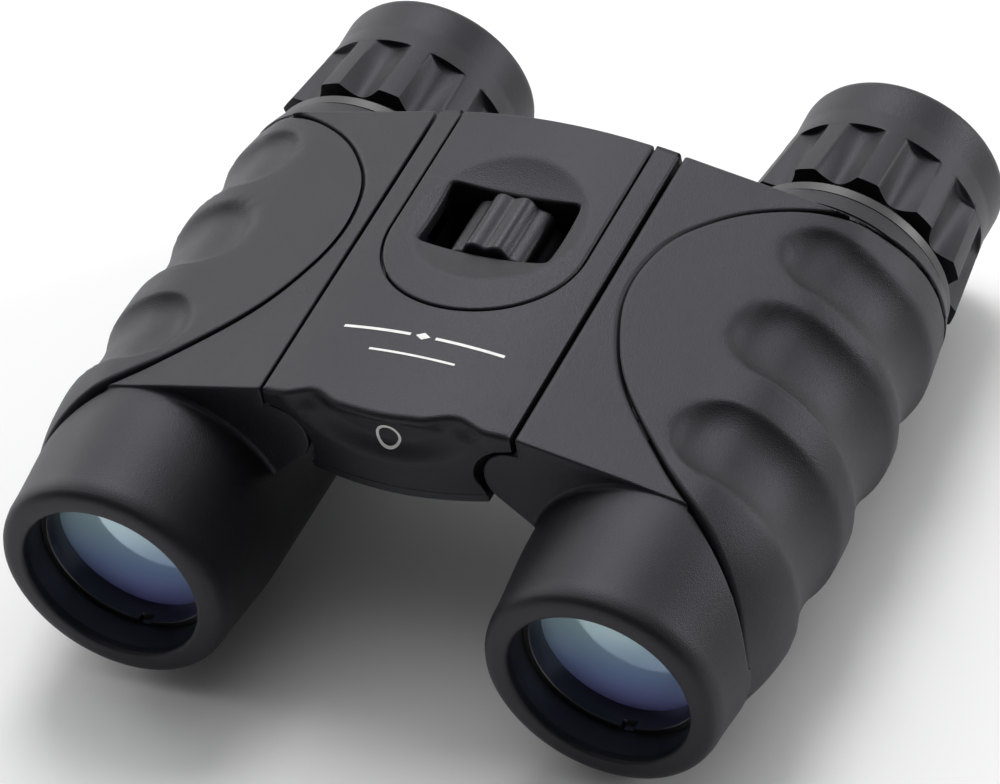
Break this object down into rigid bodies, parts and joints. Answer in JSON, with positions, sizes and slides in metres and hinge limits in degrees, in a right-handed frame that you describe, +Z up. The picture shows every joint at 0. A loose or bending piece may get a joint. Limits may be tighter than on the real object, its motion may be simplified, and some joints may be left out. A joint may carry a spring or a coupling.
{
  "type": "compact binoculars",
  "caption": "Compact double-hinge roof-prism binoculars with rubber armour, finger-lobed barrels, a bridge-mounted focus wheel and twist-up scalloped eyecups.",
  "frame": {"origin": "on the table under the middle of the object, barrels opened flat", "axes": "+Z up, +Y from the objectives back to the eyepieces, +X to the right seen from the objectives' end looking along +Y"},
  "size_m": [0.115, 0.1086, 0.0461],
  "materials": {
    "armour_rubber": "matt moulded black rubber armour with a fine even grain",
    "grip_rubber": "matt moulded black rubber, finger lobes",
    "cover_rubber": "matt moulded black rubber skin on the focus cover",
    "cup_rubber": "matt moulded black rubber, scalloped",
    "wheel_rubber": "moulded black rubber, coarse waves",
    "black_alloy": "die-cast alloy painted satin black",
    "black_ring": "turned alloy, blackened",
    "moulded_plastic": "moulded black engineering plastic",
    "pin_steel": "ground steel",
    "bush_brass": "turned brass",
    "crossbar_alloy": "machined aluminium",
    "coated_glass": "polished glass with a blue anti-reflection coating",
    "inner_glass": "polished optical glass"
  },
  "bodies": {
    "bridge": {"bridge_frame": "black_alloy", "bridge_armour": "armour_rubber", "focus_cover": "cover_rubber", "bottom_plate": "moulded_plastic", "bottom_screws": "pin_steel", "right_front_hinge_pin": "pin_steel", "left_front_hinge_pin": "pin_steel", "right_rear_hinge_pin": "pin_steel", "left_rear_hinge_pin": "pin_steel", "hinge_washers": "pin_steel", "front_bush": "bush_brass", "rear_bush": "bush_brass"},
    "focus_wheel": {"focus_tyre": "wheel_rubber", "focus_wheel_core": "moulded_plastic", "focus_spindle": "pin_steel"},
    "focus_carriage": {"focus_crossbar": "crossbar_alloy", "right_focus_rod": "pin_steel", "left_focus_rod": "pin_steel"},
    "right_barrel": {"right_barrel_housing": "black_alloy", "right_barrel_armour": "armour_rubber", "right_finger_grip": "grip_rubber", "right_objective_lens": "coated_glass", "right_objective_ring": "black_ring", "right_prism_cage": "moulded_plastic", "right_front_prism": "inner_glass", "right_rear_prism": "inner_glass", "right_prism_clip": "pin_steel", "right_ocular_housing": "black_alloy", "right_field_stop": "black_ring", "right_eye_lens": "coated_glass", "right_eye_lens_ring": "black_ring", "neck_ring": "black_alloy", "ocular_cell": "moulded_plastic", "right_field_lens": "inner_glass"},
    "left_barrel": {"left_barrel_housing": "black_alloy", "left_barrel_armour": "armour_rubber", "left_finger_grip": "grip_rubber", "left_objective_lens": "coated_glass", "left_objective_ring": "black_ring", "left_prism_cage": "moulded_plastic", "left_front_prism": "inner_glass", "left_rear_prism": "inner_glass", "left_prism_clip": "pin_steel", "left_ocular_housing": "black_alloy", "left_field_stop": "black_ring", "left_eye_lens": "coated_glass", "left_eye_lens_ring": "black_ring"},
    "right_focusing_cell": {"right_focus_cell": "moulded_plastic", "right_focus_lens": "inner_glass"},
    "left_focusing_cell": {"left_focus_cell": "moulded_plastic", "left_focus_lens": "inner_glass"},
    "right_lift": {"right_lift_ring": "moulded_plastic"},
    "left_lift": {"left_lift_ring": "moulded_plastic"},
    "right_cup": {"right_eyecup": "cup_rubber"},
    "left_cup": {"left_eyecup": "cup_rubber"},
    "dioptre_collar": {"dioptre_ring": "black_alloy"},
    "dioptre_slider": {"dioptre_cell": "moulded_plastic", "left_field_lens": "inner_glass"}
  },
  "joints": [
    {"name": "right_fold", "type": "hinge", "parent": "bridge", "child": "right_barrel", "pos_m": [0.0184, 0, 0.0348], "axis": [0, 1, 0], "range_deg": [0, 40]},
    {"name": "left_fold", "type": "hinge", "parent": "bridge", "child": "left_barrel", "pos_m": [-0.0184, 0, 0.0348], "axis": [0, -1, 0], "range_deg": [0, 40]},
    {"name": "focus_turn", "type": "hinge", "parent": "bridge", "child": "focus_wheel", "pos_m": [0, 0, 0.0385], "axis": [0, 1, 0], "range_deg": [-270, 270]},
    {"name": "carriage_travel", "type": "slide", "parent": "bridge", "child": "focus_carriage", "axis": [0, 1, 0], "range_m": [-0.003, 0.003]},
    {"name": "right_focus_travel", "type": "slide", "parent": "right_barrel", "child": "right_focusing_cell", "axis": [0, 1, 0], "range_m": [-0.003, 0.003]},
    {"name": "left_focus_travel", "type": "slide", "parent": "left_barrel", "child": "left_focusing_cell", "axis": [0, 1, 0], "range_m": [-0.003, 0.003]},
    {"name": "right_cup_lift", "type": "slide", "parent": "right_barrel", "child": "right_lift", "axis": [0, 1, 0], "range_m": [0, 0.006]},
    {"name": "right_cup_twist", "type": "hinge", "parent": "right_lift", "child": "right_cup", "pos_m": [0.0372, 0, 0.0199], "axis": [0, 1, 0], "range_deg": [0, 180]},
    {"name": "left_cup_lift", "type": "slide", "parent": "left_barrel", "child": "left_lift", "axis": [0, 1, 0], "range_m": [0, 0.006]},
    {"name": "left_cup_twist", "type": "hinge", "parent": "left_lift", "child": "left_cup", "pos_m": [-0.0372, 0, 0.0199], "axis": [0, 1, 0], "range_deg": [0, 180]},
    {"name": "dioptre_travel", "type": "slide", "parent": "left_barrel", "child": "dioptre_slider", "axis": [0, 1, 0], "range_m": [-0.0007, 0.0007]},
    {"name": "dioptre_turn", "type": "hinge", "parent": "left_barrel", "child": "dioptre_collar", "pos_m": [-0.0372, 0, 0.0199], "axis": [0, 1, 0], "range_deg": [-60, 60]}
  ],
  "couplings": [
    {"joint": "focus_turn", "follows": "carriage_travel", "rad_per_m": 1570.6},
    {"joint": "right_focus_travel", "follows": "carriage_travel", "ratio": 1},
    {"joint": "left_focus_travel", "follows": "carriage_travel", "ratio": 1},
    {"joint": "right_cup_lift", "follows": "right_cup_twist", "m_per_rad": 0.0019097},
    {"joint": "left_cup_lift", "follows": "left_cup_twist", "m_per_rad": 0.0019097},
    {"joint": "dioptre_turn", "follows": "dioptre_travel", "rad_per_m": 1495.8}
  ]
}
